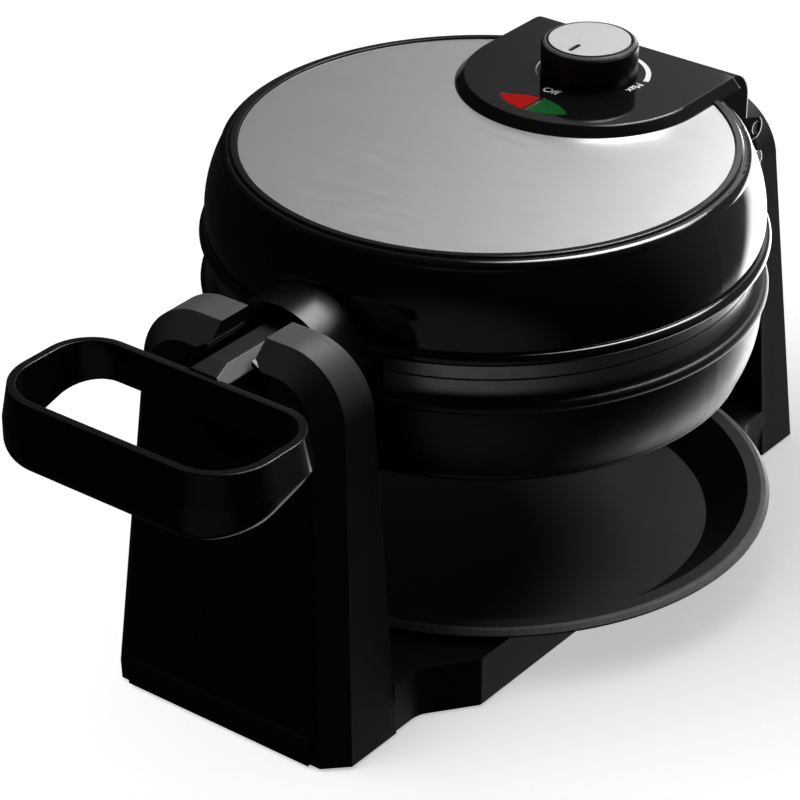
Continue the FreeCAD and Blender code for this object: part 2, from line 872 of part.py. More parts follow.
def handle_loop():
    """Loop with a level rim, a sloping underside and the neck that goes back into the collar."""
    bulge = axis_height + loop_bulge_h
    rim = axis_height + loop_rim
    deepest = axis_height - 2 * loop_rim
    body = loop_outline(0, deepest).extrude(Z_AXIS * (bulge - deepest))
    crest = Part.makeLoft([loop_outline(0, bulge).OuterWire, loop_outline(loop_rim_inset, rim).OuterWire],
                          True, True)
    low_far = axis_height + loop_low_far
    low_near = low_far - loop_tilt * (loop_near - loop_far)
    under = outline(on_yz, (-loop_far, low_far), (-loop_near, low_near),
                    (-loop_near, deepest - 1), (-loop_far, deepest - 1))
    under = under.extrude(X_AXIS * (4 * loop_half)).translated(X_AXIS * (-2 * loop_half))
    body = body.fuse(crest).removeSplitter().cut(under)
    edges = []
    for edge in body.Edges:
        drops = [abs(v.Z - low_far - loop_tilt * (v.Y + loop_far)) for v in edge.Vertexes]
        if max(drops) < 1e-3:
            edges.append(edge)
    body = body.makeFillet(loop_round, edges)
    inside = loop_outline(loop_wall, deepest).extrude(Z_AXIS * (4 * loop_rim))
    bar = neck(0, loop_far + loop_wall / 2)
    wedge = outline(on_yz, (-loop_far + loop_wall, axis_height + neck_top), (-loop_far - loop_wall, rim),
                    (-loop_far - loop_wall, rim + neck_top), (-loop_far + loop_wall, rim + neck_top))
    wedge = wedge.extrude(X_AXIS * (4 * neck_half)).translated(X_AXIS * (-2 * neck_half))
    loop = body.cut(inside).fuse(bar.cut(wedge)).removeSplitter()
    return loop.cut(handle_core_bar(tenon_fit))


def handle_core():
    return handle_core_bar(0)


# Hinge and rear trunnion

def hinge_bracket():
    """Steel plate on the lower shell, with two ears that carry the hinge pin."""
    plate = box(-bracket_half, bracket_half, bracket_y, bracket_y + bracket_sheet,
                axis_height - bracket_low, axis_height + bracket_high)
    for side in (-1, 1):
        x = bracket_half - bracket_ear if side > 0 else -bracket_half
        leg = box(x, x + bracket_ear, bracket_y, hinge_y + hinge_ear_r, axis_height - bracket_low, hinge_z)
        plate = plate.fuse(leg).fuse(rod(hinge_ear_r, bracket_ear, x, hinge_y, hinge_z, X_AXIS))
        plate = plate.fuse(box(x, x + bracket_ear, bracket_y, hinge_y, hinge_z - hinge_ear_r, hinge_z))
    plate = plate.removeSplitter()
    plate = plate.cut(rod(hinge_pin_r + screw_fit, 2 * vast, -vast, hinge_y, hinge_z, X_AXIS))
    plate = plate.cut(rod(trunnion_bore, 2 * bracket_sheet, 0, bracket_y - 1, axis_height, Y_AXIS))
    plate = plate.cut(stud_length(stud_r + screw_fit, -vast, vast))
    for x in (-bracket_screw_x, bracket_screw_x):
        h = axis_height - bracket_screw_h
        plate = plate.cut(screw_hole(x, bracket_y - 1, h, Y_AXIS, 2 * bracket_sheet))
    return plate


def bracket_screws():
    y = bracket_y + bracket_sheet
    z = axis_height - bracket_screw_h
    return Part.makeCompound([screw(x, y, z, -Y_AXIS) for x in (-bracket_screw_x, bracket_screw_x)])


def hinge_pin():
    """Plain pin through both ears of the bracket and both cheeks of the lid."""
    reach = panel_half - pin_end_gap
    return rod(hinge_pin_r, 2 * reach, -reach, hinge_y, hinge_z, X_AXIS)


def stud_length(radius, start, end):
    """Round length of a stud, between two distances from the middle plane."""
    return rod(radius, end - start, start, hinge_y - stud_ahead, axis_height + stud_h, X_AXIS)


def bracket_studs():
    """Shouldered rivet in each ear, with a bright cap that shows below the panel."""
    inside = bracket_half - bracket_ear
    stud = stud_length(stud_r, inside - stud_head, panel_half)
    stud = stud.fuse(stud_length(stud_head_r, inside - stud_head, inside))
    stud = stud.fuse(stud_length(stud_shoulder_r, bracket_half, panel_half))
    stud = stud.fuse(stud_length(stud_cap_r, panel_half, panel_half + stud_cap)).removeSplitter()
    return Part.makeCompound([stud, stud.mirror(V(0, 0, 0), X_AXIS)])


def trunnion_end():
    return rear_inner + rear_boss_length + rear_bush_lip_sheet + washer_sheet + end_play


def rear_trunnion():
    """Hollow stub axle on the bracket; the wires pass through its bore."""
    foot_y = bracket_y + bracket_sheet
    foot = rod(trunnion_foot_r, trunnion_foot_sheet, 0, foot_y, axis_height, Y_AXIS)
    length = trunnion_end() + stop_arm_width + 2 * clip_sheet + end_play - foot_y
    axle = foot.fuse(rod(trunnion_r, length, 0, foot_y, axis_height, Y_AXIS))
    return axle.cut(rod(trunnion_bore, length + 1, 0, foot_y, axis_height, Y_AXIS))


def trunnion_washer():
    y = rear_inner + rear_boss_length + rear_bush_lip_sheet
    bush_r = trunnion_r + running_fit + rear_bush_wall
    washer = rod(bush_r + rear_bush_lip, washer_sheet, 0, y + end_play / 2, axis_height, Y_AXIS)
    return washer.cut(rod(trunnion_r + screw_fit, vast, 0, y - 1, axis_height, Y_AXIS))


def stop_arm():
    """Ring keyed to the trunnion with one finger, level at rest on the +X side."""
    y = trunnion_end()
    ring = rod(trunnion_r + clip_reach, stop_arm_width, 0, y, axis_height, Y_AXIS)
    low = axis_height - stop_arm_half
    finger = box(0, stop_arm_reach, y, y + stop_arm_width, low, low + 2 * stop_arm_half)
    arm = ring.fuse(finger).removeSplitter()
    return arm.cut(rod(trunnion_r + screw_fit, vast, 0, y - 1, axis_height, Y_AXIS))


def trunnion_clip():
    y = trunnion_end() + stop_arm_width
    clip = rod(trunnion_r + clip_reach, clip_sheet, 0, y, axis_height, Y_AXIS)
    clip = clip.cut(rod(trunnion_r + screw_fit, vast, 0, y - 1, axis_height, Y_AXIS))
    low = axis_height - 2 * trunnion_r
    return clip.cut(box(-trunnion_r / 2, trunnion_r / 2, y, y + clip_sheet, low, axis_height))


# Control panel

def panel_plan(inset, h):
    """D-shaped plan of the panel: round towards the handle, square at the hinge."""
    half = panel_half + panel_flare - inset
    face = outline(on_xy, (half, panel_rear_y), (half, panel_middle_y),
                   ((0, panel_middle_y - half), (-half, panel_middle_y)), (-half, panel_rear_y))
    return face.translated(Z_AXIS * h)


def panel_block(inset, low, high):
    """Flared D-shaped plate; the inset block is the hollow inside it."""
    foot = panel_plan(inset, low).OuterWire
    top = panel_plan(inset + panel_flare * (high - low) / panel_rise, high).OuterWire
    return Part.makeLoft([foot, top], True, True)


def skirt_block(inset):
    """Hinge cover behind the disc, rounded along its upper rear edge."""
    half = panel_half - inset
    rear = skirt_rear_y - inset
    top = panel_top - inset
    centre = (rear - skirt_round, top - skirt_round)
    side = outline(on_yz, (0, skirt_low - inset), (rear, skirt_low - inset), (rear, top - skirt_round),
                   (on_arc(centre, skirt_round, 45), (rear - skirt_round, top)), (0, top))
    side = side.extrude(X_AXIS * (2 * half)).translated(X_AXIS * -half)
    return side.common(box(-half, half, panel_middle_y, rear, 0, 2 * panel_top))


def panel_room():
    """Where the panel and its skirt stand on the lid."""
    return panel_block(0, disc_top, panel_top).fuse(skirt_block(0))


def hinge_cheeks():
    """Two cheeks of the skirt that reach back to the hinge pin."""
    cheeks = []
    for x in (-panel_half, panel_half - cheek):
        side = outline(on_yz, (skirt_rear_y - cheek, hinge_h - hinge_ear_r),
                       (hinge_y, hinge_h - hinge_ear_r),
                       ((hinge_y + hinge_ear_r, hinge_h), (hinge_y, hinge_h + hinge_ear_r)),
                       (skirt_rear_y - cheek, hinge_h + 2 * hinge_ear_r))
        cheeks.append(side.extrude(X_AXIS * cheek).translated(X_AXIS * x))
    return cheeks


def lens_plan(fit, side):
    """Half of the leaf-shaped lamp window, left or right of the middle."""
    half = lens_half + fit
    front = lens_front_y - fit
    rear = lens_rear_y + fit
    middle = (front + rear) / 2
    leaf = outline(on_xy, (-half, middle), ((0, front), (half, middle)), ((0, rear), (-half, middle)))
    thick = panel_rise if fit else lens_sheet
    leaf = leaf.extrude(Z_AXIS * thick).translated(Z_AXIS * (panel_top - thick))
    x0 = lens_gap / 2 - fit if side > 0 else -lens_half - 1
    x1 = lens_half + 1 if side > 0 else -lens_gap / 2 + fit
    return leaf.common(box(x0, x1, 0, panel_rear_y, 0, 2 * panel_top))


def panel_bosses():
    bosses = []
    for x in (-panel_screw_x, panel_screw_x):
        bosses.append(rod(panel_boss_r, panel_rise, x, panel_screw_y, disc_top, Z_AXIS))
    return bosses


def panel_housing():
    """One moulding: raised panel over the disc and hinge cover behind it."""
    inset = panel_wall + panel_flare * panel_wall / panel_rise
    hollow = panel_block(inset, disc_top, panel_top - panel_wall)
    housing = panel_room().cut(hollow).cut(skirt_block(panel_wall))
    hub = rod(knob_hub_r, panel_rise, 0, knob_y, disc_top, Z_AXIS)
    tray = box(-lens_half - panel_wall, lens_half + panel_wall, lens_front_y - panel_wall,
               lens_rear_y + panel_wall, disc_top, panel_top - panel_wall / 2)
    ledge = panel_top - lens_sheet - lens_fit
    tray = tray.cut(box(-lens_half, lens_half, lens_front_y, lens_rear_y, 0, ledge))
    for extra in panel_bosses() + hinge_cheeks() + [hub, tray.common(panel_room())]:
        housing = housing.fuse(extra)
    housing = housing.cut(head_envelope()).cut(rod(disc_r, disc_proud, 0, 0, shell_h, Z_AXIS))
    housing = housing.cut(trim_room())
    for side in (-1, 1):
        housing = housing.cut(lens_plan(lens_fit, side))
    housing = housing.cut(rod(shaft_r + shaft_fit, 2 * panel_top, 0, knob_y, 0, Z_AXIS))
    housing = housing.cut(rod(hinge_pin_r + hinge_fit, 2 * vast, -vast, hinge_y, hinge_h, X_AXIS))
    for x in (-panel_screw_x, panel_screw_x):
        housing = housing.cut(screw_hole(x, panel_screw_y, 0, Z_AXIS, disc_top + panel_rise / 2))
    return upper(housing.removeSplitter())


def trim_room():
    """Gap left in the panel's underside for the ends of the trim ring."""
    inside = disc_seat_r
    return spun((inside - disc_gap, shell_h), (inside + trim_width + disc_gap, shell_h),
                (inside + trim_width + disc_gap, disc_top), (inside - disc_gap, disc_top))


def lens(side):
    return upper(lens_plan(0, side))


def panel_screws():
    screws = []
    for x in (-panel_screw_x, panel_screw_x):
        whole = screw(x, panel_screw_y, ledge_top, Z_AXIS)
        screws.append(upper(whole.common(box(-vast, vast, -vast, vast, 0, panel_top - panel_wall))))
    return Part.makeCompound(screws)


def indicator_lamps():
    """Two neon lamps under the lenses, held against the disc's window."""
    lamps = []
    y = (lens_front_y + lens_rear_y) / 2
    for x in (-lamp_x, lamp_x):
        low = disc_top + panel_rise - lens_sheet - lens_fit - lamp_length
        lamps.append(rod(lamp_r, lamp_length, x, y, low, Z_AXIS))
    return upper(Part.makeCompound(lamps))


def lamp_holder():
    """Block under the disc that grips the two lamps."""
    y0 = lens_front_y - holder_wall
    y1 = lens_rear_y + holder_wall
    half = lens_half + holder_wall
    block = box(-half, half, y0, y1, ledge_top - holder_tall, ledge_top)
    for x in (-lamp_x, lamp_x):
        block = block.cut(rod(lamp_r + screw_fit, shell_h, x, (lens_front_y + lens_rear_y) / 2, 0, Z_AXIS))
    return upper(block)


# Thermostat and knob

def thermostat_frame():
    """U-shaped strip on the plate's back; the shaft turns in its roof."""
    roof = plate_back + thermostat_roof
    y0 = knob_y - thermostat_front
    y1 = knob_y + thermostat_back
    half = thermostat_half
    strip = box(-half, half, y0, y1, plate_back, plate_back + thermostat_sheet)
    strip = strip.fuse(box(-half, half, y0, y1, roof - thermostat_sheet, roof))
    strip = strip.fuse(box(-half, -half + thermostat_sheet, y0, y1, plate_back, roof))
    strip = strip.fuse(box(half - thermostat_sheet, half, y0, y1, plate_back, roof)).removeSplitter()
    start = plate_back + 2 * thermostat_sheet
    return upper(strip.cut(rod(shaft_r + shaft_fit, roof, 0, knob_y, start, Z_AXIS)))


def thermostat_stack():
    """Ceramic blocks that clamp the root of the blade, below and above it."""
    y1 = knob_y + thermostat_back
    low = plate_back + thermostat_sheet
    high = plate_back + thermostat_roof - thermostat_sheet
    level = plate_back + blade_h
    under = box(-stack_half, stack_half, y1 - stack_long, y1, low, level - blade_gap)
    over = box(-stack_half, stack_half, y1 - stack_long, y1, level + blade_sheet + blade_gap, high)
    return upper(Part.makeCompound([under, over]))


def thermostat_blade():
    """Bimetal strip whose free end drops away from the shaft as the plate heats up."""
    y1 = knob_y + thermostat_back
    level = plate_back + blade_h
    strip = box(-blade_half, blade_half, knob_y - blade_front, y1 - 1, level, level + blade_sheet)
    return upper(strip)


def thermostat_shaft():
    low = plate_back + blade_h + blade_sheet + tip_gap
    top = panel_top + knob_clear + knob_h / 2
    return upper(rod(shaft_r, top - low, 0, knob_y, low, Z_AXIS))


def knob_body():
    """Hollow cap with a hub on the shaft and a seat for the metal face."""
    low = panel_top + knob_clear
    top = low + knob_h
    body = rod(knob_r, knob_h, 0, knob_y, low, Z_AXIS)
    rim = [edge for edge in body.Edges if edge.BoundBox.ZMin > top - 1e-3]
    body = body.makeChamfer(knob_chamfer, rim)
    seat = top - knob_cap_sheet + knob_cap_proud
    roof = seat - knob_wall
    body = body.cut(rod(knob_cap_r + knob_cap_gap, knob_h, 0, knob_y, seat, Z_AXIS))
    hollow = rod(knob_r - knob_wall, roof - low, 0, knob_y, low, Z_AXIS)
    body = body.cut(hollow.cut(rod(knob_hub_r, knob_h, 0, knob_y, low, Z_AXIS)))
    return upper(body.cut(rod(shaft_r + screw_fit, knob_h / 2, 0, knob_y, low, Z_AXIS)))


def knob_cap():
    """Metal face with a short sunk pointer near its edge."""
    top = panel_top + knob_clear + knob_h + knob_cap_proud
    face = rod(knob_cap_r, knob_cap_sheet, 0, knob_y, top - knob_cap_sheet, Z_AXIS)
    half = pointer_length / 2
    mark = box(-half, half, -pointer_r, pointer_r, top - pointer_depth, top)
    for x in (-half, half):
        mark = mark.fuse(rod(pointer_r, pointer_depth, x, 0, top - pointer_depth, Z_AXIS))
    mark = mark.translated(X_AXIS * -pointer_at).rotated(V(0, 0, 0), Z_AXIS, 90).translated(Y_AXIS * knob_y)
    return upper(face.cut(mark))


def thermal_fuse():
    """Safety fuse lying on the back of the lower plate."""
    body = rod(fuse_r, fuse_long, -fuse_long / 2, -fuse_y, plate_back + fuse_r + heater_seat, X_AXIS)
    return lower(body)


def pieces():
    plate = grid_plate()
    element = heater()
    screws = plate_screws()
    return {
        "front_post_shell": front_post_shell(),
        "front_post_cover": front_post_cover(),
        "front_saddle_bush": front_saddle_bush(),
        "rear_post_shell": rear_post_shell(),
        "rear_post_cover": rear_post_cover(),
        "rear_bearing_bush": rear_bearing_bush(),
        "flip_stop": flip_stop(),
        "base_bridge": base_bridge(),
        "bottom_plate": bottom_plate(),
        "rubber_feet": rubber_feet(),
        "base_screws": base_screws(),
        "cord_gland": cord_gland(),
        "terminal_block": terminal_block(),
        "drip_tray": drip_tray(),
        "lower_shell": lower_shell(),
        "lower_grid_plate": lower(plate),
        "lower_heater": lower(element),
        "lower_reflector": lower(reflector(False)),
        "lower_plate_screws": lower(screws),
        "lower_collar": lower_collar(),
        "thermal_fuse": thermal_fuse(),
        "hinge_bracket": hinge_bracket(),
        "bracket_screws": bracket_screws(),
        "hinge_pin": hinge_pin(),
        "bracket_studs": bracket_studs(),
        "rear_trunnion": rear_trunnion(),
        "trunnion_washer": trunnion_washer(),
        "stop_arm": stop_arm(),
        "trunnion_clip": trunnion_clip(),
        "upper_shell": upper_shell(),
        "upper_grid_plate": upper(plate),
        "upper_heater": upper(element),
        "upper_reflector": upper(reflector(True)),
        "upper_plate_screws": upper(screws),
        "upper_collar": upper_collar(),
        "handle_loop": handle_loop(),
        "handle_core": handle_core(),
        "steel_disc": steel_disc(),
        "disc_trim_ring": disc_trim_ring(),
        "panel_housing": panel_housing(),
        "panel_screws": panel_screws(),
        "red_lens": lens(-1),
        "green_lens": lens(1),
        "indicator_lamps": indicator_lamps(),
        "lamp_holder": lamp_holder(),
        "thermostat_frame": thermostat_frame(),
        "thermostat_stack": thermostat_stack(),
        "thermostat_blade": thermostat_blade(),
        "thermostat_shaft": thermostat_shaft(),
        "knob_body": knob_body(),
        "knob_cap": knob_cap(),
    }


os.makedirs("parts", exist_ok=True)
for name, shape in pieces().items():
    placed = shape.translated(Y_AXIS * footprint_shift)
    print(name, len(placed.Solids), "solids", round(placed.Volume), "mm3", placed.isValid())
    placed.exportStep("parts/" + name + ".step")
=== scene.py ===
# %% [markdown]
# # Dressing a rotating waffle maker
# The solids of the machine come from the frame: every one is already in place, in metres, and already
# moves with its body. So this lesson is about looks. It opens the frame and then works through the
# finishes, the printed dial and the light.

# %% Open the frame
import math
import bpy
import bmesh
from mathutils import Matrix, Vector


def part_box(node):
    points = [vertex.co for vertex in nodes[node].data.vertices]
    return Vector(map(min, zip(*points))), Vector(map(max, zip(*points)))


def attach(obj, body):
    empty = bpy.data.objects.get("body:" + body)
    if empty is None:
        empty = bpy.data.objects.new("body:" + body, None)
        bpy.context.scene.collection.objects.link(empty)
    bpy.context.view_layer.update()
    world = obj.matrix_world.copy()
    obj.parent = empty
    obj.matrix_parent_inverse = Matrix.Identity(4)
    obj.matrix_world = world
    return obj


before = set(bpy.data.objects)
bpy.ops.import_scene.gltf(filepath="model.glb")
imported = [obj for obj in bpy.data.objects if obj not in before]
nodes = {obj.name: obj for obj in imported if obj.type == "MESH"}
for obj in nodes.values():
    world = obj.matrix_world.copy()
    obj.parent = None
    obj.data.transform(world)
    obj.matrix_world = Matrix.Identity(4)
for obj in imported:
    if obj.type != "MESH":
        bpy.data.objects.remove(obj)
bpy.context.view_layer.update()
print("solids in the frame:", len(nodes))

# %% [markdown]
# ## Building blocks for the finishes
# A real surface is never one colour. Each finish below starts from the same few steps: a place on the
# object (object coordinates, which are metres in the frame), a noise at the size of the real grain, and
# a ramp that turns the noise into a colour, a roughness or a height. Masks say where on the object a
# second colour lies. Writing these steps once as small functions keeps each finish short enough to read.

# %% Helpers for node materials
MM = 0.001
RANGE_SOCKETS = ("From Min", "From Max", "To Min", "To Max")


def grey(value, warmth=0.0):
    """Colour for a ramp: a grey, a little warmer or cooler."""
    return (value * (1 + warmth), value, value * (1 - warmth), 1)


class Finish:
    """A node material with its shader at hand and short calls for the usual steps."""

    def __init__(self, name):
        self.material = bpy.data.materials.new(name)
        self.material.use_nodes = True
        self.tree = self.material.node_tree
        self.shader = self.tree.nodes["Principled BSDF"]
        self.place = self.add("ShaderNodeTexCoord").outputs["Object"]

    def add(self, kind):
        return self.tree.nodes.new(kind)

    def join(self, source, target):
        self.tree.links.new(source, target)

    def set(self, **values):
        """Constants go on the shader's own sockets."""
        for name, value in values.items():
            self.shader.inputs[name.replace("_", " ")].default_value = value

    def stretched(self, scale):
        mapping = self.add("ShaderNodeMapping")
        mapping.inputs["Scale"].default_value = scale
        self.join(self.place, mapping.inputs["Vector"])
        return mapping.outputs["Vector"]

    def noise(self, size, detail=3.0, stretch=(1, 1, 1)):
        """Noise whose lumps are about size metres across."""
        node = self.add("ShaderNodeTexNoise")
        node.inputs["Scale"].default_value = 1 / size
        node.inputs["Detail"].default_value = detail
        self.join(self.stretched(stretch), node.inputs["Vector"])
        return node.outputs["Fac"]

    def ramp(self, factor, low, high, start=0.3, end=0.7):
        """Colours or greys between two ends of a factor."""
        node = self.add("ShaderNodeValToRGB")
        for stop, (position, value) in zip(node.color_ramp.elements, ((start, low), (end, high))):
            stop.position = position
            stop.color = value if isinstance(value, tuple) else grey(value)
        self.join(factor, node.inputs["Fac"])
        return node.outputs["Color"]

    def mixed(self, factor, first, second):
        """One colour over another, by a factor."""
        node = self.add("ShaderNodeMix")
        node.data_type = "RGBA"
        self.join(factor, node.inputs["Factor"])
        self.join(first, node.inputs["A"])
        self.join(second, node.inputs["B"])
        return node.outputs["Result"]

    def both(self, first, second):
        """Mask of the places where two masks meet."""
        node = self.add("ShaderNodeMath")
        node.operation = "MULTIPLY"
        self.join(first, node.inputs[0])
        self.join(second, node.inputs[1])
        return node.outputs["Value"]

    def between(self, source, start, end, low, high):
        """Value that goes from low to high as a source goes from start to end."""
        node = self.add("ShaderNodeMapRange")
        for socket, value in zip(RANGE_SOCKETS, (start, end, low, high)):
            node.inputs[socket].default_value = value
        self.join(source, node.inputs["Value"])
        return node.outputs["Result"]

    def across(self, vector, axis, start, end, low, high):
        """The same for one coordinate of a vector."""
        split = self.add("ShaderNodeSeparateXYZ")
        self.join(vector, split.inputs["Vector"])
        return self.between(split.outputs[axis], start, end, low, high)

    def face_normal(self):
        return self.add("ShaderNodeNewGeometry").outputs["True Normal"]

    def from_axis(self, centre):
        """Distance from an upright axis."""
        shift = self.add("ShaderNodeVectorMath")
        shift.operation = "SUBTRACT"
        shift.inputs[1].default_value = centre
        self.join(self.place, shift.inputs[0])
        flat = self.add("ShaderNodeVectorMath")
        flat.operation = "MULTIPLY"
        flat.inputs[1].default_value = (1, 1, 0)
        self.join(shift.outputs["Vector"], flat.inputs[0])
        length = self.add("ShaderNodeVectorMath")
        length.operation = "LENGTH"
        self.join(flat.outputs["Vector"], length.inputs[0])
        return length.outputs["Value"]

    def worn(self, radius):
        """Mask that is bright where an edge of the solid is sharp."""
        bevel = self.add("ShaderNodeBevel")
        bevel.inputs["Radius"].default_value = radius
        geometry = self.add("ShaderNodeNewGeometry")
        dot = self.add("ShaderNodeVectorMath")
        dot.operation = "DOT_PRODUCT"
        self.join(bevel.outputs["Normal"], dot.inputs[0])
        self.join(geometry.outputs["Normal"], dot.inputs[1])
        return self.ramp(dot.outputs["Value"], 1.0, 0.0, 0.6, 0.98)

    def eased(self, radius):
        """Edges that catch the light as if eased to a small radius."""
        bevel = self.add("ShaderNodeBevel")
        bevel.samples = 6
        bevel.inputs["Radius"].default_value = radius
        self.join(bevel.outputs["Normal"], self.shader.inputs["Normal"])

    def colour(self, source):
        self.join(source, self.shader.inputs["Base Color"])

    def over(self, mask, source):
        """Lays a second colour over the present one, where the mask is bright."""
        below = self.shader.inputs["Base Color"].links[0].from_socket
        self.colour(self.mixed(mask, below, source))

    def roughness(self, source):
        self.join(source, self.shader.inputs["Roughness"])

    def relief(self, height, depth, strength=1.0):
        """Bump of a depth in metres, on top of any relief already there."""
        bump = self.add("ShaderNodeBump")
        bump.inputs["Distance"].default_value = depth
        bump.inputs["Strength"].default_value = strength
        old = self.shader.inputs["Normal"]
        if old.is_linked:
            self.join(old.links[0].from_socket, bump.inputs["Normal"])
        self.join(height, bump.inputs["Height"])
        self.join(bump.outputs["Normal"], old)


dressed = set()


def dress(finish, *names):
    """Gives solids of the frame one finish."""
    for name in names:
        mesh = nodes[name].data
        mesh.materials.clear()
        mesh.materials.append(finish.material)
        dressed.add(name)
    print(finish.material.name, "on", ", ".join(names))


# %% [markdown]
# ## Black mouldings
# Nearly everything outside is injection moulded in black, and only the polish of the tool differs. The
# lid and the ring round the disc are mirror smooth; the collars are satin; the lower half is dull. The
# pigment is so dark that all the eye sees is reflection, so the finish lives in the roughness: fine wipe
# marks in it, and a faint waviness of the skin over the ribs inside. The moulds have small radii on
# every edge, and those thin lines of light are what draws the shape.

# %% Polished, satin and dull black
def black_moulding(name, edge, shine=0.5, pigment=0.003, wiped=None):
    """Moulded black with a faint waviness, eased edges and, between two roughnesses, wipe marks."""
    finish = Finish(name)
    finish.set(Specular_IOR_Level=shine)
    finish.eased(edge)
    finish.colour(finish.ramp(finish.noise(40 * MM), grey(pigment), grey(1.5 * pigment, -0.02)))
    if wiped:
        smooth, rough = wiped
        finish.roughness(finish.ramp(finish.noise(9 * MM, 6), smooth, rough))
    finish.relief(finish.noise(30 * MM, 2), 0.04 * MM, 0.2)
    return finish


dress(black_moulding("polished_black", 0.5 * MM, wiped=(0.07, 0.13)), "upper_shell", "disc_trim_ring")
dress(black_moulding("satin_black", 0.6 * MM, 0.18, wiped=(0.22, 0.28)), "upper_collar", "lower_collar")
dress(black_moulding("dull_black", 0.6 * MM, 0.4, wiped=(0.34, 0.42)), "lower_shell")

# %% [markdown]
# ## Handle and panel
# Two mouldings change over their length. The loop of the handle is satin, but its neck, which nobody
# polishes by holding it, is dull. The top of the control panel is a mirror that shows the knob again
# upside down, while its sides are shaded and hardly shine.

# %% Handle and panel
LOOP_ROUGHNESS = 0.15
NECK_ROUGHNESS = 0.45
SIDE_SHINE = 0.12
TOP_SHINE = 0.5
handle_black = black_moulding("handle_black", 0.9 * MM, 0.25)
handle_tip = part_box("handle_loop")[0].y
loop_end = handle_tip + 56 * MM
neck_start = handle_tip + 62 * MM
handle_black.roughness(handle_black.across(handle_black.place, "Y", loop_end, neck_start,
                                           LOOP_ROUGHNESS, NECK_ROUGHNESS))
dress(handle_black, "handle_loop")

panel_black = black_moulding("panel_black", 1.2 * MM, pigment=0.004, wiped=(0.04, 0.07))
panel_black.join(panel_black.across(panel_black.face_normal(), "Z", 0.5, 0.8, SIDE_SHINE, TOP_SHINE),
                 panel_black.shader.inputs["Specular IOR Level"])
dress(panel_black, "panel_housing")

# %% [markdown]
# ## Fine-grained black stand and tray
# The posts and the bridge have a fine spark-eroded grain that takes the shine off. Grain this small is a
# bump, not geometry: lumps well under a millimetre across, with a little more shine on the tops, and
# edges that years of wiping have rubbed a little lighter. The tray is coated sheet: finer and flatter.
# Its steep inner wall is painted near black as painted shade, and its rim a lighter grey as a painted
# highlight.

# %% Grained black
def grained_moulding(name, pigment, lump, smooth, rough):
    """Dull black with a fine even grain and edges rubbed lighter."""
    finish = Finish(name)
    finish.set(Specular_IOR_Level=0.06)
    grain = finish.noise(lump, 4)
    finish.eased(0.6 * MM)
    plain = finish.ramp(finish.noise(25 * MM), grey(1.1 * pigment), grey(1.25 * pigment))
    rubbed = finish.ramp(grain, grey(2 * pigment), grey(3 * pigment))
    finish.colour(finish.mixed(finish.worn(0.7 * MM), plain, rubbed))
    finish.roughness(finish.ramp(grain, smooth, rough))
    finish.relief(grain, 0.1 * lump, 0.6)
    return finish


dress(grained_moulding("grained_black", 0.022, 0.55 * MM, 0.45, 0.6),
      "front_post_shell", "front_post_cover", "rear_post_shell", "rear_post_cover", "base_bridge")

# %% Coated tray
WALL_TOP = 114 * MM
RIM_START = 118.7 * MM
tray_coat = grained_moulding("tray_coating", 0.016, 0.35 * MM, 0.34, 0.46)
tray_low, tray_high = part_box("drip_tray")
from_middle = tray_coat.from_axis((tray_low + tray_high) / 2)
# Painted shade: the steep inner wall inside WALL_TOP is painted near black, as if it lay in shade.
steep_wall_shade = tray_coat.across(tray_coat.face_normal(), "Z", 0.80, 0.95, 1, 0)
inside_wall_shade = tray_coat.between(from_middle, WALL_TOP - 0.5 * MM, WALL_TOP + 0.5 * MM, 1, 0)
# Painted highlight: the rim out from RIM_START is painted a lighter grey, as a line of light along it.
rim_painted_highlight = tray_coat.between(from_middle, RIM_START - 0.3 * MM, RIM_START + 0.3 * MM, 0, 1)
tray_coat.over(tray_coat.both(steep_wall_shade, inside_wall_shade),
               tray_coat.ramp(tray_coat.noise(25 * MM), grey(0.002), grey(0.003)))
tray_coat.over(rim_painted_highlight, tray_coat.ramp(tray_coat.noise(3 * MM), grey(0.06), grey(0.08)))
dress(tray_coat, "drip_tray")

# %% [markdown]
# ## Brushed and satin metal faces
# The disc on the lid is brushed along one direction with an abrasive belt. Brushing is noise stretched
# fifty times along the stroke: it changes the height a little, the roughness a little and the colour
# hardly at all. The face of the knob is turned, so its strokes are rings: there the noise is read by the
# distance from the knob's axis instead. The knob itself is black, with a satin grey rim round the face.

# %% Disc
BRUSHED_LENGTH = 50
brushed = Finish("brushed_steel")
brushed.set(Metallic=1.0)
stroke = brushed.noise(0.22 * MM, 3, (1 / BRUSHED_LENGTH, 1, 1))
brushed.colour(brushed.ramp(stroke, grey(0.89), grey(0.93), 0.25, 0.75))
brushed.roughness(brushed.ramp(stroke, 0.30, 0.36))
brushed.relief(stroke, 0.004 * MM, 0.5)
dress(brushed, "steel_disc")

# %% Knob and its face
cap_low, cap_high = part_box("knob_cap")
knob_axis = (cap_low + cap_high) / 2
knob_axis.z = 0


def ring_strokes(finish, centre, width):
    """Noise that runs in rings round an upright axis."""
    strokes = finish.add("ShaderNodeTexNoise")
    strokes.noise_dimensions = "1D"
    strokes.inputs["Scale"].default_value = 1 / width
    strokes.inputs["Detail"].default_value = 3
    finish.join(finish.from_axis(centre), strokes.inputs["W"])
    return strokes.outputs["Fac"]


turned = Finish("turned_knob_face")
turned.set(Metallic=0.35)
rings = ring_strokes(turned, knob_axis, 0.4 * MM)
turned.colour(turned.ramp(rings, grey(0.52, -0.006), grey(0.60, -0.006)))
turned.roughness(turned.ramp(rings, 0.38, 0.48))
turned.relief(rings, 0.01 * MM, 0.4)
dress(turned, "knob_cap")

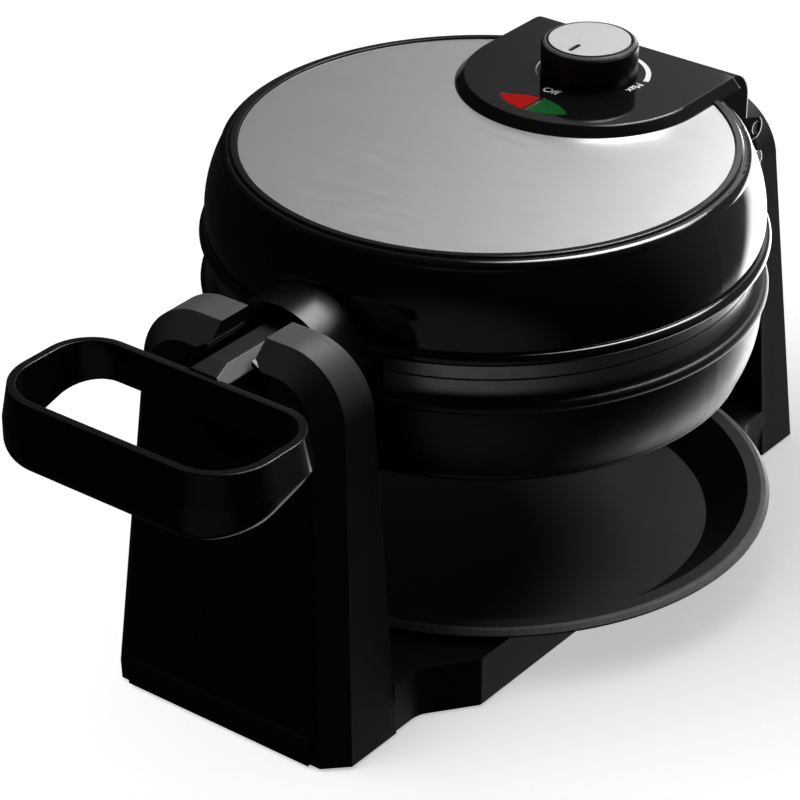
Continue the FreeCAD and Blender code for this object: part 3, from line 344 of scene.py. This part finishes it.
KNOB_RIM_RADIUS = 18.6 * MM
KNOB_RIM_DEPTH = 0.8 * MM
RIM_SOFTNESS = 0.1 * MM
knob_black = black_moulding("knob_black", 0.4 * MM, 0.2, 0.004, wiped=(0.26, 0.36))
rim_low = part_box("knob_body")[1].z - KNOB_RIM_DEPTH
outside = knob_black.between(knob_black.from_axis(knob_axis), KNOB_RIM_RADIUS - RIM_SOFTNESS,
                             KNOB_RIM_RADIUS + RIM_SOFTNESS, 0, 1)
above = knob_black.across(knob_black.place, "Z", rim_low - RIM_SOFTNESS, rim_low + RIM_SOFTNESS, 0, 1)
knob_black.over(knob_black.both(outside, above),
                knob_black.ramp(knob_black.noise(1.5 * MM), grey(0.10), grey(0.14)))
dress(knob_black, "knob_body")

# %% [markdown]
# ## Cooking plates
# The plates are cast aluminium with a sprayed non-stick coat. Up close the coat is a dark metallic grey
# with sparse lighter flecks and an orange-peel surface: a fine noise whose peaks are the flecks, and a
# slower one for the orange peel.

# %% Non-stick coat
coat = Finish("non_stick_coat")
coat.set(Metallic=0.8)
coat.eased(0.5 * MM)
flecks = coat.noise(0.7 * MM, 2)
coat.colour(coat.ramp(flecks, grey(0.38), grey(0.46), 0.60, 0.78))
coat.roughness(coat.ramp(coat.noise(6 * MM), 0.30, 0.42))
coat.relief(coat.noise(1.6 * MM, 2), 0.03 * MM, 0.5)
dress(coat, "lower_grid_plate", "upper_grid_plate")

# %% [markdown]
# ## Hidden metal
# Inside and below are the plain metals of any appliance: zinc-plated sheet with its crystal spangle,
# turned steel with fine rings of tool marks, rolled aluminium with lines along the roll, heater tube with
# a straw-coloured heat tint, bright plated screws, a blackened hinge pin, and a bimetal strip that is
# warmer in colour than steel.

# %% Zinc sheet
zinc = Finish("zinc_sheet")
zinc.set(Metallic=1.0)
spangle = zinc.add("ShaderNodeTexVoronoi")
spangle.inputs["Scale"].default_value = 1 / (5 * MM)
zinc.join(zinc.place, spangle.inputs["Vector"])
zinc.colour(zinc.ramp(spangle.outputs["Distance"], grey(0.54, -0.02), grey(0.60, -0.02), 0.1, 0.8))
zinc.roughness(zinc.ramp(spangle.outputs["Color"], 0.42, 0.48))
zinc.relief(zinc.noise(2 * MM), 0.02 * MM, 0.4)
dress(zinc, "bottom_plate", "hinge_bracket", "thermostat_frame")

# %% Other metals
ALONG_Y = (1, 0.05, 1)
ALONG_X = (0.03, 1, 1)
EVEN = (1, 1, 1)


def metal(name, low, high, lump, smooth, rough, stretch=EVEN, depth=0.02 * MM):
    """Metal whose colour, shine and height share one noise."""
    finish = Finish(name)
    finish.set(Metallic=1.0)
    finish.eased(0.3 * MM)
    marks = finish.noise(lump, 3, stretch)
    finish.colour(finish.ramp(marks, low, high))
    finish.roughness(finish.ramp(marks, smooth, rough))
    finish.relief(marks, depth, 0.5)
    return finish


dress(metal("turned_steel", grey(0.46), grey(0.58), 0.4 * MM, 0.22, 0.36, ALONG_Y),
      "rear_trunnion", "trunnion_washer", "stop_arm", "thermostat_shaft", "handle_core")
dress(metal("spring_steel", grey(0.20, -0.04), grey(0.30, -0.04), 1.5 * MM, 0.3, 0.42), "trunnion_clip")
dress(metal("black_oxide", grey(0.012, -0.04), grey(0.020, -0.04), 2 * MM, 0.34, 0.46), "hinge_pin")
dress(metal("rolled_aluminium", grey(0.70), grey(0.80), 0.8 * MM, 0.26, 0.4, ALONG_X),
      "lower_reflector", "upper_reflector", "thermal_fuse")
dress(metal("heater_tube", (0.30, 0.26, 0.20, 1), (0.42, 0.40, 0.37, 1), 14 * MM, 0.34, 0.5),
      "lower_heater", "upper_heater")
dress(metal("bright_plating", grey(0.72, -0.01), grey(0.84, -0.01), 3 * MM, 0.08, 0.18, EVEN, 0.005 * MM),
      "bracket_studs", "base_screws", "bracket_screws", "panel_screws", "lower_plate_screws",
      "upper_plate_screws")
dress(metal("bimetal", (0.52, 0.42, 0.26, 1), (0.62, 0.52, 0.34, 1), 1.2 * MM, 0.28, 0.4, ALONG_Y),
      "thermostat_blade")

# %% [markdown]
# ## Nylon, ceramic and rubber
# The bushes, the stop and the blocks are small mouldings that nobody polishes. Nylon has a waxy bloom, so
# it gets a little light under its surface; the bushes are filled with black for their wear; ceramic is
# chalky; and rubber is dull, with dust in its pores.

# %% Small mouldings
def dull_moulding(name, low, high, lump, smooth, rough, depth, glow=0.0):
    """Unpolished moulding with a slow mottle and a fine pitted skin."""
    finish = Finish(name)
    finish.set(Subsurface_Weight=glow, Subsurface_Scale=1.5 * MM)
    finish.eased(0.3 * MM)
    finish.colour(finish.ramp(finish.noise(12 * lump), low, high))
    pits = finish.noise(lump, 4)
    finish.roughness(finish.ramp(pits, smooth, rough))
    finish.relief(pits, depth, 0.5)
    return finish


dress(dull_moulding("black_nylon", grey(0.006), grey(0.010), 0.8 * MM, 0.36, 0.5, 0.03 * MM),
      "front_saddle_bush", "rear_bearing_bush")
dress(dull_moulding("pale_nylon", grey(0.56, 0.04), grey(0.66, 0.04), 0.9 * MM, 0.38, 0.52, 0.03 * MM,
                    glow=0.15),
      "flip_stop", "terminal_block", "lamp_holder")
dress(dull_moulding("ceramic", grey(0.66, 0.03), grey(0.76, 0.03), 0.5 * MM, 0.6, 0.75, 0.03 * MM),
      "thermostat_stack")
dress(dull_moulding("black_rubber", grey(0.010), grey(0.020), 0.5 * MM, 0.62, 0.8, 0.05 * MM),
      "rubber_feet", "cord_gland")

# %% [markdown]
# ## Lamp windows
# The two windows are clear tinted plastic with fine prisms on the inside that spread the light of the
# lamps. The machine is off, so they are not lit: what shows is the tint, in lines a little deeper and a
# little lighter, under a smooth face. The lamps below are glass tubes, frosted in places.

# %% Tinted windows and lamps
def tinted_window(name, deep, clear):
    """Tinted window with fine prisms seen through its face."""
    finish = Finish(name)
    finish.set(Specular_IOR_Level=0.03)
    finish.eased(0.3 * MM)
    prisms = finish.add("ShaderNodeTexWave")
    prisms.inputs["Scale"].default_value = 1 / (3 * MM)
    prisms.inputs["Distortion"].default_value = 0.4
    finish.join(finish.place, prisms.inputs["Vector"])
    finish.colour(finish.ramp(prisms.outputs["Fac"], deep, clear, 0.1, 0.9))
    finish.roughness(finish.ramp(finish.noise(4 * MM), 0.12, 0.2))
    return finish


dress(tinted_window("red_window", (0.31, 0.005, 0.003, 1), (0.37, 0.007, 0.004, 1)), "red_lens")
dress(tinted_window("green_window", (0.006, 0.068, 0.014, 1), (0.008, 0.084, 0.019, 1)), "green_lens")
lamp = Finish("lamp_glass")
lamp.set(IOR=1.5, Transmission_Weight=0.7)
lamp.colour(lamp.ramp(lamp.noise(6 * MM), (0.85, 0.78, 0.70, 1), (0.95, 0.90, 0.84, 1)))
lamp.roughness(lamp.ramp(lamp.noise(2 * MM), 0.05, 0.3))
dress(lamp, "indicator_lamps")
print("solids without a finish:", sorted(set(nodes) - dressed))

# %% [markdown]
# ## Printed dial
# A white wedge is printed round the knob: thin where the heat is low and thick where it is high, between
# the words at its two ends. Print is ink, a few hundredths of a millimetre thick, so each mark is a very
# thin solid lying on the panel. It could be painted into the panel's finish, but as pieces the marks stay
# sharp at any distance. The wedge is swept in bmesh round the axis of the knob.

# %% Ink and the panel's top
INK_THICK = 0.06 * MM
INK_SPREAD = 0.06 * MM
ink = Finish("white_ink")
ink.colour(ink.ramp(ink.noise(0.5 * MM, 4), grey(0.72), grey(0.84)))
ink.roughness(ink.ramp(ink.noise(0.3 * MM), 0.5, 0.65))
on_panel = knob_axis + Vector((0, 0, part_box("panel_housing")[1].z))


def printed(name, mesh, body="lid"):
    """A printed mark as a piece that moves with a body."""
    mesh.materials.clear()
    mesh.materials.append(ink.material)
    mark = bpy.data.objects.new(name, mesh)
    bpy.context.scene.collection.objects.link(mark)
    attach(mark, body)
    print(name, "has", len(mesh.polygons), "faces")


def raised(name, form, thick):
    """Mesh of the flat faces of a form, raised to a thickness."""
    top = bmesh.ops.extrude_face_region(form, geom=form.faces[:])["geom"]
    for vertex in [piece for piece in top if isinstance(piece, bmesh.types.BMVert)]:
        vertex.co.z += thick
    bmesh.ops.recalc_face_normals(form, faces=form.faces[:])
    mesh = bpy.data.meshes.new(name)
    form.to_mesh(mesh)
    form.free()
    return mesh


# %% Heat wedge
def heat_wedge(start, end, inner, swell, thin, thick, steps=72):
    """Flat wedge round the knob, from a thin end to a thick end that lies further out by swell."""
    form = bmesh.new()
    rows = []
    for step in range(steps + 1):
        share = step / steps
        angle = math.radians(start + (end - start) * share)
        spoke = Vector((math.cos(angle), math.sin(angle), 0))
        near = inner + swell * share
        far = near + thin + (thick - thin) * share
        rows.append([form.verts.new(on_panel + spoke * radius) for radius in (near, far)])
    for (a, b), (c, d) in zip(rows, rows[1:]):
        form.faces.new((a, b, d, c))
    bmesh.ops.recalc_face_normals(form, faces=form.faces[:])
    return raised("heat_wedge", form, INK_THICK)


printed("heat_wedge", heat_wedge(start=228, end=14, inner=21.9 * MM, swell=2.4 * MM,
                                 thin=0.5 * MM, thick=2.4 * MM))

# %% Words at the two ends
CAPITAL_SHARE = 0.7


def word(text, tall, x, y, turn):
    """Mesh of a short word lying on the panel, at a place seen from the knob's axis, turned about it."""
    letters = bpy.data.curves.new(text, "FONT")
    letters.body = text
    letters.size = tall / CAPITAL_SHARE
    letters.align_x = "CENTER"
    letters.align_y = "CENTER"
    letters.extrude = INK_THICK / 2
    letters.offset = INK_SPREAD
    holder = bpy.data.objects.new(text, letters)
    bpy.context.scene.collection.objects.link(holder)
    bpy.context.view_layer.update()
    mesh = bpy.data.meshes.new_from_object(holder.evaluated_get(bpy.context.evaluated_depsgraph_get()))
    bpy.data.objects.remove(holder)
    bpy.data.curves.remove(letters)
    middle = on_panel + Vector((x, y, INK_THICK / 2))
    mesh.transform(Matrix.Translation(middle) @ Matrix.Rotation(turn, 4, "Z"))
    return mesh


printed("word_off", word("Off", 4.1 * MM, -1.4 * MM, -25.9 * MM, 0))
printed("word_max", word("Max", 3.7 * MM, 24.3 * MM, -1.5 * MM, -math.pi / 2))

# %% [markdown]
# ## Pointer on the knob
# The face of the knob has a short sunk slot that points at the dial. On the real knob the slot shows the
# black moulding below the metal, so a thin black inlay fills the bottom of the slot. It rides on the knob.

# %% Pointer inlay
POINTER_FROM_AXIS = 11.4 * MM
INLAY_DEPTH = 0.8 * MM
INLAY_THICK = 0.3 * MM


def pointer_inlay(middle, half_long, radius, steps=12):
    """Slot-shaped plate with round ends, lying along Y."""
    form = bmesh.new()
    rim = []
    for end, first in ((1, 0), (-1, 180)):
        for step in range(steps + 1):
            angle = math.radians(first + 180 * step / steps)
            x = radius * math.cos(angle)
            y = end * half_long + radius * math.sin(angle)
            rim.append(form.verts.new(middle + Vector((x, y, 0))))
    form.faces.new(rim)
    return raised("pointer_inlay", form, INLAY_THICK)


inlay_middle = knob_axis + Vector((0, -POINTER_FROM_AXIS, cap_high.z - INLAY_DEPTH))
inlay_mesh = pointer_inlay(inlay_middle, half_long=2.8 * MM, radius=1.05 * MM)
inlay_mesh.materials.append(knob_black.material)
inlay = bpy.data.objects.new("pointer_inlay", inlay_mesh)
bpy.context.scene.collection.objects.link(inlay)
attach(inlay, "knob")
print("pointer inlay", [round(v / MM, 2) for v in inlay.dimensions], "mm")

# %% [markdown]
# ## Camera
# The camera stands where the photograph was taken from: to the front and right, about thirty degrees up,
# with a long lens. The long lens keeps the two posts nearly the same size.

# %% Camera
camera_data = bpy.data.cameras.new("camera")
camera_data.lens = 149.2
camera_data.sensor_width = 36
camera = bpy.data.objects.new("camera", camera_data)
camera.location = (0.7223, -0.9579, 0.7786)
camera.rotation_euler = (math.radians(60.03), 0, math.radians(37.64))
bpy.context.scene.collection.objects.link(camera)
bpy.context.scene.camera = camera
print("camera at", [round(v, 3) for v in camera.location])

# %% [markdown]
# ## Floor and light
# Black objects are drawn by what they reflect. A white tent would light the floor evenly, but it would
# turn every black face grey. So the studio is split. The camera sees plain white; gloss sees a dark room
# with a soft box above and a few bright cards behind; and a soft key from behind and to the right lights
# the machine alone, so that upright faces towards the camera stay black while tops and ledges come
# forward. The stand, the tray and the handle have lights of their own, as a photographer would add a card
# for each. The floor has its own soft light from the other side, and is left out of the reflections.

# %% Floor
FLOOR_HALF = 6
corners = [(x * FLOOR_HALF, y * FLOOR_HALF, 0) for x, y in ((-1, -1), (1, -1), (1, 1), (-1, 1))]
floor_mesh = bpy.data.meshes.new("floor")
floor_mesh.from_pydata(corners, [], [(0, 1, 2, 3)])
floor = bpy.data.objects.new("floor", floor_mesh)
bpy.context.scene.collection.objects.link(floor)
floor.visible_glossy = False
floor.visible_diffuse = False
floor_finish = Finish("pale_floor")
floor_finish.colour(floor_finish.ramp(floor_finish.noise(300 * MM), grey(0.88), grey(0.90)))
floor_finish.set(Roughness=0.9, Specular_IOR_Level=0.0, Emission_Color=(1, 1, 1, 1), Emission_Strength=0.5)
floor_mesh.materials.append(floor_finish.material)
print("floor", 2 * FLOOR_HALF, "m across")

# %% Room that gloss and shade see
world = bpy.data.worlds.new("studio")
world.use_nodes = True
bpy.context.scene.world = world
studio = world.node_tree


def studio_node(kind):
    return studio.nodes.new(kind)


gaze = studio_node("ShaderNodeTexCoord").outputs["Generated"]
path = studio_node("ShaderNodeLightPath")


def glow_towards(direction, start, end, low, high):
    """Brightness that grows from low to high as a ray turns towards a direction."""
    dot = studio_node("ShaderNodeVectorMath")
    dot.operation = "DOT_PRODUCT"
    studio.links.new(gaze, dot.inputs[0])
    dot.inputs[1].default_value = Vector(direction).normalized()
    ramp = studio_node("ShaderNodeMapRange")
    ramp.interpolation_type = "SMOOTHSTEP"
    for socket, value in zip(RANGE_SOCKETS, (start, end, low, high)):
        ramp.inputs[socket].default_value = value
    studio.links.new(dot.outputs["Value"], ramp.inputs["Value"])
    return ramp.outputs["Result"]


def added(first, second):
    node = studio_node("ShaderNodeMath")
    studio.links.new(first, node.inputs[0])
    studio.links.new(second, node.inputs[1])
    return node.outputs["Value"]


def sky(brightness):
    node = studio_node("ShaderNodeBackground")
    studio.links.new(brightness, node.inputs["Color"])
    return node.outputs["Background"]


def seen_by(rays, inside_wall_shade, outside):
    """One sky for a kind of ray and another for the rest."""
    node = studio_node("ShaderNodeMixShader")
    studio.links.new(path.outputs[rays], node.inputs["Fac"])
    studio.links.new(outside, node.inputs[1])
    studio.links.new(inside_wall_shade, node.inputs[2])
    return node.outputs["Shader"]


# %% Skies
back_wall = glow_towards((0.2, 0.9, 0.3), 0.3, 0.95, 0.015, 0.21)
soft_box = glow_towards((0.05, 0.45, 0.89), 0.94, 0.975, 0.0, 14.0)
low_card = glow_towards((-0.05, 0.95, -0.3), 0.925, 0.975, 0.0, 5.5)
left_card = glow_towards((-0.31, 0.85, 0.42), 0.962, 0.990, 0.0, 0.2)
table_card = glow_towards((0.05, 0.61, -0.78), 0.85, 1.0, 0.0, 2.0)
front_card = glow_towards((0.3, -0.78, -0.55), 0.70, 0.98, 0.0, 0.13)
gloss_light = back_wall
for glow in (soft_box, low_card, left_card, table_card, front_card):
    gloss_light = added(gloss_light, glow)
gloss_sky = sky(gloss_light)
shade_sky = sky(glow_towards((0.0, 0.25, 0.97), 0.35, 1.0, 0.0, 0.35))
white = studio.nodes["Background"]
white.inputs["Color"].default_value = (1, 1, 1, 1)
unseen = seen_by("Is Glossy Ray", gloss_sky, shade_sky)
room = seen_by("Is Camera Ray", white.outputs["Background"], unseen)
studio.links.new(room, studio.nodes["World Output"].inputs["Surface"])
print("studio nodes:", len(studio.nodes))

# %% Lights
def aimed(name, kind, place, target, energy, receivers):
    """A light that points at a target and lights only some objects."""
    data = bpy.data.lights.new(name, kind)
    data.energy = energy
    light = bpy.data.objects.new(name, data)
    light.location = place
    light.rotation_euler = (Vector(target) - Vector(place)).to_track_quat("-Z", "Y").to_euler()
    light.visible_camera = False
    bpy.context.scene.collection.objects.link(light)
    lit = bpy.data.collections.new(name + "_receivers")
    for piece in receivers:
        lit.objects.link(piece)
    light.light_linking.receiver_collection = lit
    print(name, "lights", len(receivers), "objects")
    return data


def area(name, place, target, energy, size, receivers):
    aimed(name, "AREA", place, target, energy, receivers).size = size


stand = [nodes[name] for name in ("front_post_shell", "front_post_cover", "rear_post_shell",
                                  "rear_post_cover", "base_bridge")]
tray = [nodes["drip_tray"]]
machine = [piece for piece in bpy.context.scene.objects
           if piece.type == "MESH" and piece is not floor and piece not in stand + tray]
area("key", (0.20, 0.62, 1.15), (0, 0.03, 0.15), 14, 0.7, machine)
area("back_card", (-0.12, 0.75, 0.62), (0.05, 0.03, 0.19), 0.42, 0.4, machine)
area("handle_light", (0.26, 0.58, 1.00), (0, -0.18, 0.15), 4, 0.25, [nodes["handle_loop"]])
area("stand_light", (-0.20, 0.75, 1.20), (0, 0, 0.15), 46, 0.5, stand)
area("tray_light", (0.45, 0.70, 0.95), (0.05, 0.03, 0.02), 20, 0.4, tray)
fill = aimed("floor_light", "SUN", (-0.35, -0.45, 0.82), (0, 0, 0), 1.7, [floor])
fill.angle = math.radians(60)
bpy.context.scene.view_settings.view_transform = "Standard"
